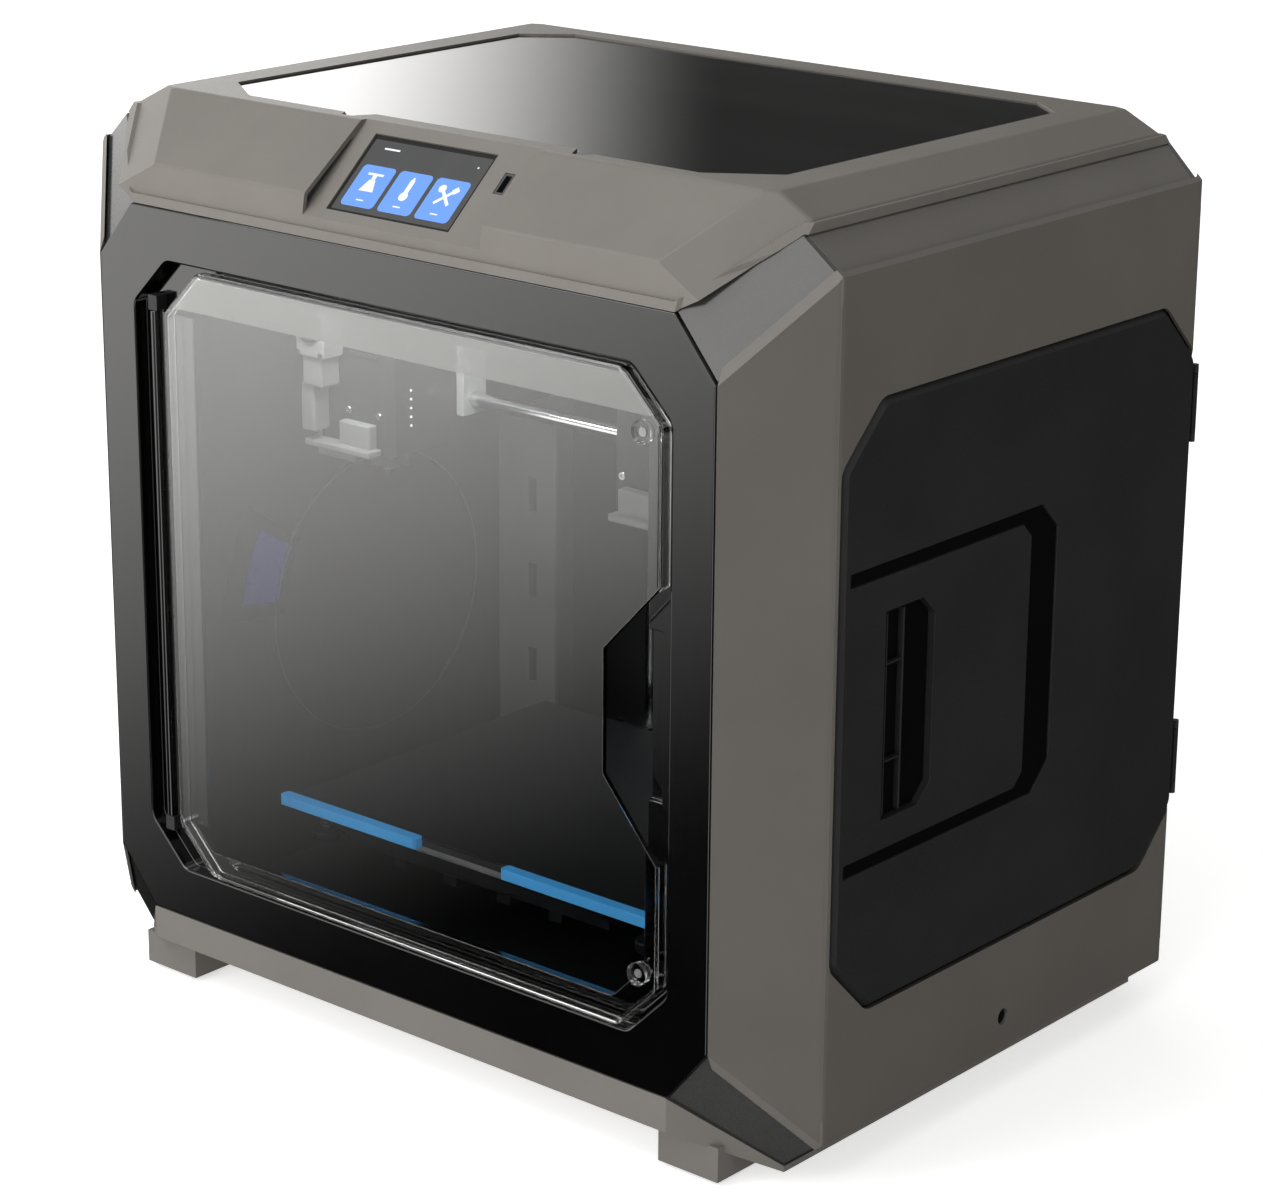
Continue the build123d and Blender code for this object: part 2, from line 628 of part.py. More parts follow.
def gantry_blocks():
    """End blocks of the moving X beam, each with the clamp for its belt."""
    body = block(END_X0, END_X1, 160, 196, 396, 515)
    body += block(END_X1, 212, 165, 190, 508, 516.9)
    body -= rod(ROD_R + FIT, (Y_ROD_X, 150, Y_ROD_Z), (Y_ROD_X, 205, Y_ROD_Z))
    return both_sides(body)


def y_guides():
    guides = []
    for sx in (1, -1):
        x = sx * Y_ROD_X
        bar = rod(ROD_R, (x, 24, Y_ROD_Z), (x, 398, Y_ROD_Z))
        for y0, y1 in ((BEZEL_T + 1, 24), (398, CHAMBER_Y1)):
            bar += block(x - 8, x + 8, y0, y1, Y_ROD_Z - 8, Y_ROD_Z + 8)
        guides.append(bar)
    return guides


def y_belts():
    """Closed belts over the shaft's pulleys at the back and fixed idlers at the front."""
    belts = []
    for sx in (1, -1):
        x0, x1 = sorted((sx * 206.2, sx * 212.2))
        outer = PULLEY_R + 1.5
        inner = PULLEY_R + 0.35
        loops = []
        for r in (outer, inner):
            loop = block(x0, x1, 34, SHAFT_Y, BELT_Z - r, BELT_Z + r)
            loop += rod(r, (x0, 34, BELT_Z), (x1, 34, BELT_Z))
            loop += rod(r, (x0, SHAFT_Y, BELT_Z), (x1, SHAFT_Y, BELT_Z))
            loops.append(loop)
        belts.append(loops[0] - loops[1])
        belts.append(rod(PULLEY_R, (x0, 34, BELT_Z), (x1, 34, BELT_Z)))
    return belts


def y_drive_shaft():
    """Cross shaft with a pulley at each end, turned by the Y motor."""
    shaft = rod(3, (-212, SHAFT_Y, BELT_Z), (219, SHAFT_Y, BELT_Z))
    for sx in (1, -1):
        shaft += rod(PULLEY_R, (sx * 206.2, SHAFT_Y, BELT_Z), (sx * 212.2, SHAFT_Y, BELT_Z))
    return shaft


def y_motor():
    motor = block(219.4, 257, SHAFT_Y - 21, SHAFT_Y + 21, BELT_Z - 21, BELT_Z + 21)
    return chamfer(motor.edges().filter_by(Axis.X), 4)


def extruder_carriage():
    """Left-hand head's sliding block, its cooling duct and the frame of its fan."""
    x = -NOZZLE[0]
    body = block(x - 40, x + 40, X_ROD_Y - 11, X_ROD_Y + 11, 398, 481)
    for z in X_ROD_Z:
        body -= rod(ROD_R + FIT, (x - 50, X_ROD_Y, z), (x + 50, X_ROD_Y, z))
    body -= rod(4, (x - GEAR_R, 150, FEED_Z), (x - GEAR_R, 200, FEED_Z))
    body += block(x - 21, x + 21, X_ROD_Y + 11, X_ROD_Y + 30, FEED_Z - 21, FEED_Z + 21)
    body += block(x - 52, x - 35.5, 112, 158, 428, 474)
    body += block(x - 52, x - 35.5, 140, X_ROD_Y - 11, 400, 428)
    body -= rod(18.6, (x - 60, 135, 451), (x - 38, 135, 451))
    duct = block(x - 50, x - 35.5, 118, 152, 396, 428)
    duct += block(x - 50, x - 14, 118, 152, 366, 378)
    duct += trim(block(x - 50, x - 35.5, 118, 152, 366, 400), (x - 50, 0, 378), (-12, 0, -9))
    duct -= block(x - 48, x - 12, 120, 150, 368, 376)
    return body + duct


def extruder_cover():
    """Left-hand head's dark cover, open at the back and the bottom."""
    x = -NOZZLE[0]
    cover = block(x - 35, x + 34, 103, X_ROD_Y - 11.3, 380, 500)
    cover = chamfer(cover.edges().filter_by(Axis.Z).sort_by(Axis.Y)[:2], 5)
    cover -= block(x - 32.5, x + 31.5, 105.5, X_ROD_Y, 370, 497.5)
    cover -= rod(2.2, (x, NOZZLE[1], 490), (x, NOZZLE[1], 510))
    return cover


def hot_end():
    """Left-hand head's finned heat sink, heater block and nozzle."""
    x, y, tip = -NOZZLE[0], NOZZLE[1], NOZZLE[2]
    profile = [(0, 0), (1, 0), (4, 4), (4, 28)]
    for fin in range(8):
        z = 28 + fin * 4.2
        profile += [(11, z), (11, z + 1.6), (4, z + 1.6), (4, z + 4.2)]
    profile += [(4, 66), (0, 66)]
    turned = revolve(Plane.XZ * make_face(Polyline(*profile, close=True)), Axis.Z)
    parts = Pos(x, y, tip) * turned
    parts += block(x - 8, x + 12, y - 8, y + 8, tip + 6.3, tip + 19)
    parts += block(x - 12, x + 12, y + 3, X_ROD_Y - 11, tip + 62.5, tip + 65)
    return parts


def feed_gear():
    """Left-hand hobbed gear on its motor shaft."""
    x = -NOZZLE[0] - GEAR_R - FILAMENT / 2
    gear = rod(GEAR_R, (x, NOZZLE[1] - 4, FEED_Z), (x, NOZZLE[1] + 4, FEED_Z))
    return gear + rod(2.5, (x, NOZZLE[1] - 6, FEED_Z), (x, X_ROD_Y + 10.5, FEED_Z))


def feed_idler():
    x = -NOZZLE[0] + IDLER_R + FILAMENT / 2
    wheel = rod(IDLER_R, (x, NOZZLE[1] - 4, FEED_Z), (x, NOZZLE[1] + 4, FEED_Z))
    return wheel + rod(2, (x, NOZZLE[1] - 6, FEED_Z), (x, X_ROD_Y - 11.5, FEED_Z))


def fan(centre, axis, radius, hub, depth, blades):
    """A fan rotor: a hub and flat tilted blades."""
    plane = Plane(origin=centre, z_dir=axis)
    rotor = extrude(plane * Circle(hub), depth)
    for n in range(blades):
        blade = Rot(0, 0, 360 * n / blades) * Pos((radius + hub) / 2 - 0.5, 0, depth / 2)
        blade = blade * Rot(35, 0, 0) * Box(radius - hub + 1, radius * 0.45, 1.2)
        rotor += plane * blade
    limit = extrude(plane * Circle(radius), depth)
    return rotor & limit


def rear_fan_frame():
    frame = block(100, 180, BACK - 29.5, BACK - 4.5, 420, 500)
    frame -= rod(37.5, (140, BACK - 40, 460), (140, BACK, 460))
    for angle in (45, 135, 225, 315):
        x = 140 + 37 * math.cos(math.radians(angle))
        z = 460 + 37 * math.sin(math.radians(angle))
        frame += rod(2, (140, BACK - 28, 460), (x, BACK - 28, z))
    frame += rod(14, (140, BACK - 29.5, 460), (140, BACK - 26.5, 460))
    return frame


def power_inlet():
    body = block(-200.6, -173.4, BACK - 24, BACK, 96.4, 115.6)
    body -= block(-198, -176, BACK - 16, BACK + 1, 98.5, 113.5)
    for dx in (-7, 0, 7):
        body += block(-187 + dx - 1, -187 + dx + 1, BACK - 17, BACK - 5, 103, 108)
    return body


def power_rocker():
    rocker = rod(9.6, (-158.5, BACK - 8, 106), (-147.5, BACK - 8, 106))
    rocker &= block(-160, -146, BACK - 16, BACK - 0.6, 96.8, 115.2)
    return rocker


def panel_screws():
    screws = []
    for x in (-235, 0, 235):
        for z in (130, 303, 476):
            if x != 0 or z != 303:
                screws.append(rod(3.5, (x, BACK - 6, z), (x, BACK - 0.2, z)))
    return screws


def side_bolt(radius, x0, x1):
    """A round bar across X, where a bolt sits low on the right-hand pod."""
    y, z = SIDE_BOLT
    return rod(radius, (x0, y, z), (x1, y, z))


def main():
    save("base_tray", base_tray())
    save("rubber_feet", *rubber_feet())
    save("front_bezel", front_bezel())
    shell = side_shell()
    save("right_side_shell", shell)
    save("left_side_shell", mirror(shell, about=Plane.YZ))
    save("corner_trims", *corner_trims())
    save("top_cover", top_cover())
    screws = panel_screws()
    panel = rear_panel()
    for screw in screws:
        panel -= screw
    save("rear_panel", panel)
    save("panel_screws", *screws, *both_sides(side_bolt(5.4, POD_X - 9, POD_X - 1.2)))
    wall = chamber_wall()
    save("right_chamber_wall", wall)
    save("left_chamber_wall", mirror(wall, about=Plane.YZ))
    save("rear_chamber_wall", block(-WALL_X + 0.3, WALL_X - 0.3, CHAMBER_Y1, CHAMBER_Y1 + WALL_T,
                                    FLOOR_Z, WALL_TOP))
    save("chamber_floor", chamber_floor())
    save("right_spool_bay", spool_bay())
    save("left_spool_bay", mirror(spool_bay(), about=Plane.YZ))
    save("spool_hubs", *both_sides(spool_hub()))
    save("touch_screen", touch_screen())
    save("usb_port", usb_port())
    left_hinges = [mirror(lug, about=Plane.YZ) for lug in side_hinges()]
    save("hinge_blocks", *door_hinge_blocks(), *side_hinges(), *left_hinges)
    save("power_inlet", power_inlet())
    save("power_supply", block(-200, -85, 414, 464, 150, 350))
    board = block(-60, 90, 411, 413, 130, 350)
    save("main_board", board, block(-40, 0, 413, 428, 200, 240), block(20, 70, 413, 424, 260, 300))
    save("rear_fan_frame", rear_fan_frame())
    save("y_guides", *y_guides())
    save("y_belts", *y_belts())
    save("y_motor", y_motor())
    save("z_guides", *z_guides())
    save("z_columns", *z_columns())
    save("z_motors", *z_motors())
    save("led_strip", block(-150, 150, BEZEL_T + 1, 25, 538, 544))
    save("door_panel", door_panel())
    save("door_hinge_bar", door_hinge_bar())
    save("top_lid", extrude(Pos(0, 0, LID_Z) * lid_outline(0), LID_T))
    save("right_side_door", side_door())
    save("left_side_door", mirror(side_door(), about=Plane.YZ))
    save("build_plate", block(*PLATE, PLATE_TOP - PLATE_T, PLATE_TOP))
    save("heater_plate", heater_plate())
    save("platform_grips", *platform_grips())
    save("platform_carriage", platform_carriage())
    save("left_lead_screw", lead_screw(-1))
    save("right_lead_screw", lead_screw(1))
    save("gantry_blocks", *gantry_blocks())
    save("x_rods", *[rod(ROD_R, (-END_X0, X_ROD_Y, z), (END_X0, X_ROD_Y, z)) for z in X_ROD_Z])
    save("y_drive_shaft", y_drive_shaft())
    head = {
        "extruder_carriage": extruder_carriage(),
        "extruder_cover": extruder_cover(),
        "hot_end": hot_end(),
        "feed_gear": feed_gear(),
        "feed_idler": feed_idler(),
        "extruder_fan": fan((-NOZZLE[0] - 51.5, 135, 451), (1, 0, 0), 18, 9, 9, 7),
    }
    for name, shape in head.items():
        save("left_" + name, shape)
        save("right_" + name, mirror(shape, about=Plane.YZ))
    reel = spool()
    save("right_spool", reel)
    save("left_spool", mirror(reel, about=Plane.YZ))
    save("rear_fan", fan((140, BACK - 25.5, 460), (0, 1, 0), 36, 15, 18, 9))
    save("power_rocker", power_rocker())
    print(len(made), "nodes")


main()
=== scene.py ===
import math

import bmesh
import bpy
from mathutils import Matrix, Vector


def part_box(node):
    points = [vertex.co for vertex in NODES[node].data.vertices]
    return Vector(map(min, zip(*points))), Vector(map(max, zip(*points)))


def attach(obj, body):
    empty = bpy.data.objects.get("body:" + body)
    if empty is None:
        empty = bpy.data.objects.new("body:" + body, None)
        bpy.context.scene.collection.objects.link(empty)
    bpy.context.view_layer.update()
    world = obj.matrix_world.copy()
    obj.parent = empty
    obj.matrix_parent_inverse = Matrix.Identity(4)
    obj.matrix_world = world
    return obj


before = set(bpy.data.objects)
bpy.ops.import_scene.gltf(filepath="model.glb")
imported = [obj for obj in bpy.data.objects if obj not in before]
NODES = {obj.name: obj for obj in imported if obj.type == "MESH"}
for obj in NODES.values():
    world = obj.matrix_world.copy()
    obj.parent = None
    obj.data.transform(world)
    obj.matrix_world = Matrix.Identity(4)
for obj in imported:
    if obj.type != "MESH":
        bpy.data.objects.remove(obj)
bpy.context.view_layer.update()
scene = bpy.context.scene

MM = 0.001
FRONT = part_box("front_bezel")[0].y          # the bezel's plane; lengths below run back from it


def P(x, y, z):
    """A point given in millimetres: right, back from the bezel's plane, up from the floor."""
    return Vector((x * MM, FRONT + y * MM, z * MM))


def box_mm(node):
    """A CAD node's box in the millimetres that P takes: x0, x1, y0, y1, z0, z1."""
    lo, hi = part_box(node)
    return lo.x / MM, hi.x / MM, (lo.y - FRONT) / MM, (hi.y - FRONT) / MM, lo.z / MM, hi.z / MM


# ---------------------------------------------------------------- materials

class Nodes:
    """Short calls for one material's node tree."""

    def __init__(self, name):
        self.mat = bpy.data.materials.new(name)
        self.mat.use_nodes = True
        self.tree = self.mat.node_tree
        self.tree.nodes.clear()
        self.out = self.add("ShaderNodeOutputMaterial")
        self.coords = None

    def add(self, kind, **values):
        node = self.tree.nodes.new(kind)
        for key, value in values.items():
            setattr(node, key, value)
        return node

    def link(self, a, b):
        self.tree.links.new(a, b)

    def place(self, scale=(1, 1, 1)):
        """The object's own coordinates, in metres, scaled."""
        if self.coords is None:
            self.coords = self.add("ShaderNodeTexCoord")
        mapping = self.add("ShaderNodeMapping")
        mapping.inputs["Scale"].default_value = scale
        self.link(self.coords.outputs["Object"], mapping.inputs["Vector"])
        return mapping.outputs["Vector"]

    def noise(self, scale, detail=3.0, stretch=(1, 1, 1), rough=0.55):
        node = self.add("ShaderNodeTexNoise")
        node.inputs["Scale"].default_value = scale
        node.inputs["Detail"].default_value = detail
        node.inputs["Roughness"].default_value = rough
        self.link(self.place(stretch), node.inputs["Vector"])
        return node.outputs["Fac"]

    def cells(self, scale):
        node = self.add("ShaderNodeTexVoronoi")
        node.inputs["Scale"].default_value = scale
        self.link(self.place(), node.inputs["Vector"])
        return node.outputs["Distance"]

    def ramp(self, value, low, high, start=0.3, end=0.7):
        node = self.add("ShaderNodeMapRange")
        node.inputs["From Min"].default_value = start
        node.inputs["From Max"].default_value = end
        node.inputs["To Min"].default_value = low
        node.inputs["To Max"].default_value = high
        self.link(value, node.inputs["Value"])
        return node.outputs["Result"]

    def tones(self, value, dark, light, start=0.35, end=0.65):
        node = self.add("ShaderNodeValToRGB")
        node.color_ramp.elements[0].position = start
        node.color_ramp.elements[1].position = end
        node.color_ramp.elements[0].color = (*dark, 1)
        node.color_ramp.elements[1].color = (*light, 1)
        self.link(value, node.inputs["Fac"])
        return node.outputs["Color"]

    def bump(self, value, strength, depth):
        node = self.add("ShaderNodeBump")
        node.inputs["Strength"].default_value = strength
        node.inputs["Distance"].default_value = depth
        self.link(value, node.inputs["Height"])
        return node.outputs["Normal"]


def shade(colour, by):
    return tuple(max(0.0, c * by) for c in colour)


def surface(name, colour, rough, metallic=0.0, spread=0.08, rough_spread=0.05, grain=900.0,
            grain_depth=0.00004, grain_strength=0.25, stretch=(1, 1, 1), coat=0.0,
            coat_rough=0.05, coat_ior=1.5, cells=0.0, ior=1.5, patch=14.0, lit=0.0):
    """An opaque material: uneven tone and gloss, a fine moulded or brushed grain, and, where lit is
    given, a painted glow in its own colour.
    """
    n = Nodes(name)
    bsdf = n.add("ShaderNodeBsdfPrincipled")
    bsdf.inputs["Metallic"].default_value = metallic
    bsdf.inputs["IOR"].default_value = ior
    bsdf.inputs["Coat Weight"].default_value = coat
    bsdf.inputs["Coat Roughness"].default_value = coat_rough
    bsdf.inputs["Coat IOR"].default_value = coat_ior
    bsdf.inputs["Emission Color"].default_value = (*colour, 1)
    # lit: a glow in the surface's own colour, painted light; only the blue grips have it.
    bsdf.inputs["Emission Strength"].default_value = lit
    broad = n.noise(patch, 4.0)
    fine = n.noise(grain, 2.0, stretch)
    n.link(n.tones(broad, shade(colour, 1 - spread), shade(colour, 1 + spread)),
           bsdf.inputs["Base Color"])
    n.link(n.ramp(fine, max(0.02, rough - rough_spread), rough + rough_spread),
           bsdf.inputs["Roughness"])
    height = n.cells(cells) if cells else fine
    n.link(n.bump(height, grain_strength, grain_depth), bsdf.inputs["Normal"])
    n.link(bsdf.outputs["BSDF"], n.out.inputs["Surface"])
    return n.mat


def clear(name, colour, rough, ior=1.49):
    """Clear or smoked plastic, its gloss slightly uneven."""
    n = Nodes(name)
    bsdf = n.add("ShaderNodeBsdfPrincipled")
    bsdf.inputs["Transmission Weight"].default_value = 1.0
    bsdf.inputs["IOR"].default_value = ior
    bsdf.inputs["Base Color"].default_value = (*colour, 1)
    fine = n.noise(30.0, 2.0)
    n.link(n.ramp(fine, rough, rough + 0.012), bsdf.inputs["Roughness"])
    n.link(bsdf.outputs["BSDF"], n.out.inputs["Surface"])
    return n.mat


def glow(name, colour, strength, base=(0.02, 0.02, 0.02)):
    """A lit or printed screen area, also a lamp and a painted highlight: a glossy surface with its
    own even light.
    """
    n = Nodes(name)
    bsdf = n.add("ShaderNodeBsdfPrincipled")
    bsdf.inputs["Base Color"].default_value = (*base, 1)
    bsdf.inputs["Emission Color"].default_value = (*colour, 1)
    bsdf.inputs["Emission Strength"].default_value = strength
    n.link(n.ramp(n.noise(60.0, 2.0), 0.1, 0.16), bsdf.inputs["Roughness"])
    n.link(bsdf.outputs["BSDF"], n.out.inputs["Surface"])
    return n.mat


M = {
    "shell": surface("shell", (0.105, 0.096, 0.085), 0.36, spread=0.04, coat=0.35,
                     coat_rough=0.16),
    "cover": surface("cover", (0.147, 0.137, 0.124), 0.44, spread=0.04, coat=0.06, coat_rough=0.3,
                     ior=1.28),
    "base": surface("base", (0.135, 0.125, 0.113), 0.42, spread=0.04, coat=0.1, coat_rough=0.25),
    "gloss_black": surface("gloss_black", (0.0012, 0.0012, 0.0013), 0.14, spread=0.2, ior=1.4,
                           rough_spread=0.02, grain=200, grain_depth=0.00001, coat=1.0,
                           coat_rough=0.05, coat_ior=1.47),
    "trim": surface("trim", (0.03, 0.03, 0.029), 0.3, spread=0.1, coat=0.8, coat_rough=0.12),
    "door_black": surface("door_black", (0.012, 0.0125, 0.0125), 0.55, spread=0.12, cells=900.0,
                          grain_depth=0.00018, grain_strength=0.5),
    "clear_door": clear("clear_door", (0.9, 0.91, 0.9), 0.0, 1.8),
    "smoked_lid": clear("smoked_lid", (0.12, 0.12, 0.12), 0.02),
    "rubber": surface("rubber", (0.018, 0.018, 0.018), 0.75, grain=1500),
    "sheet_steel": surface("sheet_steel", (0.3, 0.3, 0.29), 0.45, metallic=0.6,
                           stretch=(1, 1, 0.05)),
    "wall_dark": surface("wall_dark", (0.024, 0.024, 0.023), 0.5, metallic=0.1, grain=1400),
    "black_metal": surface("black_metal", (0.022, 0.022, 0.023), 0.4, metallic=0.3, grain=1600),
    "steel_rod": surface("steel_rod", (0.75, 0.75, 0.76), 0.14, metallic=1.0, grain=600,
                         rough_spread=0.04, stretch=(0.05, 0.05, 1)),
    "steel": surface("steel", (0.5, 0.5, 0.51), 0.32, metallic=1.0, grain=900),
    "aluminium": surface("aluminium", (0.6, 0.6, 0.61), 0.36, metallic=1.0, grain=700,
                         stretch=(0.1, 1, 1)),
    "brass": surface("brass", (0.6, 0.43, 0.17), 0.28, metallic=1.0, grain=900),
    "inlay": surface("inlay", (0.002, 0.002, 0.002), 0.5, grain=1500, ior=1.2),
    "screen": surface("screen", (0.012, 0.012, 0.013), 0.16, ior=1.25, grain=300,
                      grain_depth=0.00001, rough_spread=0.02),
    "dark_plastic": surface("dark_plastic", (0.02, 0.02, 0.021), 0.45, grain=1300),
    "grey_plastic": surface("grey_plastic", (0.3, 0.3, 0.29), 0.45, grain=1300),
    # The blue grips glow with painted light, though they are no lamp, so that they read bright
    # through the dark door.
    "blue_grip": surface("blue_grip", (0.07, 0.4, 0.86), 0.5, spread=0.05, grain=1500, lit=0.28),
    "board": surface("board", (0.015, 0.09, 0.04), 0.4, spread=0.25, patch=60.0),
    "plate": surface("plate", (0.02, 0.02, 0.021), 0.55, cells=1400.0, grain_depth=0.0001),
    "filament": surface("filament", (0.1, 0.11, 0.36), 0.3, grain=560, grain_depth=0.0004,
                        grain_strength=0.8, stretch=(1, 0.03, 0.03)),
    "led": glow("led", (0.9, 0.95, 1.0), 4.0, (0.8, 0.8, 0.8)),
    "zinc": surface("zinc", (0.7, 0.7, 0.7), 0.22, metallic=1.0, grain=900),
}


# ---------------------------------------------------------------- the CAD nodes' finish

EDGE_ANGLE = math.radians(28)               # only edges sharper than this are rounded
SHARP_ANGLE = math.radians(40)              # and a made piece is shaded smooth up to this
SOFT_EDGES = {                              # the rounding on each node's edges, in millimetres
    "top_cover": 1.2, "left_side_shell": 1.0, "right_side_shell": 1.0, "base_tray": 1.0,
    "corner_trims": 0.8, "front_bezel": 0.6, "rear_panel": 0.5, "right_side_door": 0.4,
    "left_side_door": 0.4, "door_panel": 0.5, "top_lid": 0.5, "rubber_feet": 0.5,
    "power_inlet": 0.4, "power_rocker": 0.4, "rear_fan_frame": 0.5, "door_hinge_bar": 0.4,
    "left_extruder_cover": 1.0, "right_extruder_cover": 1.0, "left_extruder_carriage": 0.8,
    "right_extruder_carriage": 0.8, "gantry_blocks": 0.8, "platform_grips": 0.6,
    "heater_plate": 0.5, "build_plate": 0.4, "platform_carriage": 0.8, "z_columns": 0.3,
    "y_motor": 0.6, "z_motors": 0.6, "power_supply": 0.6, "led_strip": 0.4,
    "touch_screen": 0.4, "usb_port": 0.3, "left_spool_bay": 0.8, "right_spool_bay": 0.8,
}


def soften(ob, width):
    """Rounds a CAD node's sharp edges, so that they catch the light as moulded edges do."""
    weld = ob.modifiers.new("weld", "WELD")
    weld.merge_threshold = 0.00001
    flat = ob.modifiers.new("flat", "DECIMATE")
    flat.decimate_type = "DISSOLVE"
    flat.angle_limit = math.radians(0.3)
    edge = ob.modifiers.new("edge", "BEVEL")
    edge.width = width * MM
    edge.segments = 3
    edge.limit_method = "ANGLE"
    edge.angle_limit = EDGE_ANGLE
    edge.harden_normals = True
    edge.use_clamp_overlap = True
    normal = ob.modifiers.new("normal", "WEIGHTED_NORMAL")
    normal.keep_sharp = True
    normal.weight = 60


for name, ob in NODES.items():
    slot = ob.data.materials[0].name
    ob.data.materials[0] = M[slot]
    if name in SOFT_EDGES:
        soften(ob, SOFT_EDGES[name])
NODES["base_tray"].data.materials[0] = M["base"]
NODES["corner_trims"].data.materials[0] = M["trim"]


# ---------------------------------------------------------------- mesh helpers

def prism(bm, base, along):
    """A solid from a flat outline, a list of points, pushed along a vector."""
    low = [bm.verts.new(p) for p in base]
    high = [bm.verts.new(Vector(p) + along) for p in base]
    bm.faces.new(list(reversed(low)))
    bm.faces.new(high)
    count = len(base)
    for i in range(count):
        j = (i + 1) % count
        bm.faces.new((low[i], low[j], high[j], high[i]))


def bar(bm, x0, x1, y0, y1, z0, z1):
    base = [P(x0, y0, z0), P(x1, y0, z0), P(x1, y1, z0), P(x0, y1, z0)]
    prism(bm, base, Vector((0, 0, (z1 - z0) * MM)))


def lathe(bm, profile, centre, axis, segments=32):
    """A closed ring or solid from (radius, height) pairs in millimetres, turned about an axis."""
    axis = Vector(axis).normalized()
    side = axis.orthogonal().normalized()
    other = axis.cross(side)
    rings = []
    for radius, height in profile:
        start = centre + axis * height * MM
        if radius < 1e-6:
            rings.append([bm.verts.new(start)])
            continue
        rings.append([bm.verts.new(start + (side * math.cos(a) + other * math.sin(a)) * radius * MM)
                      for a in [2 * math.pi * k / segments for k in range(segments)]])
    pairs = list(zip(rings, rings[1:]))
    if len(rings[0]) > 1 and len(rings[-1]) > 1:
        pairs.append((rings[-1], rings[0]))
    for first, second in pairs:
        for k in range(segments):
            n = (k + 1) % segments
            corners = []
            for v in (first[k % len(first)], first[n % len(first)],
                      second[n % len(second)], second[k % len(second)]):
                if v not in corners:
                    corners.append(v)
            if len(corners) > 2:
                bm.faces.new(corners)


def rounded(width, height, radius, steps=5):
    """An upright rectangle with round corners, as (u, v) pairs about its middle."""
    points = []
    for cu, cv, turn in ((1, 1, 0), (-1, 1, 90), (-1, -1, 180), (1, -1, 270)):
        for k in range(steps + 1):
            a = math.radians(turn + 90 * k / steps)
            points.append((cu * (width / 2 - radius) + radius * math.cos(a),
                           cv * (height / 2 - radius) + radius * math.sin(a)))
    return points


def piece(name, bm, body, slot, bevel=0.0, material=None):
    """Turns a bmesh into a piece that rides on a body and takes a slot's finish."""
    bmesh.ops.recalc_face_normals(bm, faces=bm.faces)
    mesh = bpy.data.meshes.new(name)
    bm.to_mesh(mesh)
    bm.free()
    mesh.shade_smooth()
    ob = bpy.data.objects.new(name, mesh)
    scene.collection.objects.link(ob)
    ob.data.materials.append(M[material or slot])
    if bevel:
        edge = ob.modifiers.new("edge", "BEVEL")
        edge.width = bevel * MM
        edge.segments = 2
        edge.limit_method = "ANGLE"
        edge.angle_limit = EDGE_ANGLE
        edge.harden_normals = True
    sharp = ob.modifiers.new("normal", "WEIGHTED_NORMAL")
    sharp.keep_sharp = True
    mesh.set_sharp_from_angle(angle=SHARP_ANGLE)
    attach(ob, body)
    return ob


# ---------------------------------------------------------------- touch screen

SLOPE = Vector((0, 56.0, 50.5)).normalized()
OUTWARD = Vector((0, -50.5, 56.0)).normalized()
SCREEN_AT = P(0, 6, 564.5)                  # the middle of the sloping panel's lower edge
GLASS_TOP = -1.1                            # the glass lies this far below the panel
PAGE_TOP = GLASS_TOP + 0.06
TILE_TOP = GLASS_TOP + 0.14
SIGN_TOP = GLASS_TOP + 0.2
SCREEN_U = -8.0                             # the screen's middle is left of the panel's
TILE_PITCH = 31.5


def on_screen(u, v, w=0.0):
    """A point on the sloping panel: right, up the slope and out of it, in millimetres."""
    return SCREEN_AT + Vector((u * MM, 0, 0)) + SLOPE * v * MM + OUTWARD * w * MM


def screen_shape(bm, points, u, v, w0, w1):
    prism(bm, [on_screen(u + a, v + b, w0) for a, b in points], OUTWARD * (w1 - w0) * MM)


def turned(points, degrees, du=0.0, dv=0.0):
    """A flat outline turned about its middle, then moved."""
    c, s = math.cos(math.radians(degrees)), math.sin(math.radians(degrees))
    return [(du + a * c - b * s, dv + a * s + b * c) for a, b in points]


def box2(w, h):
    return [(-w / 2, -h / 2), (w / 2, -h / 2), (w / 2, h / 2), (-w / 2, h / 2)]


def circle2(r, n=20):
    angles = [2 * math.pi * k / n for k in range(n)]
    return [(r * math.cos(a), r * math.sin(a)) for a in angles]


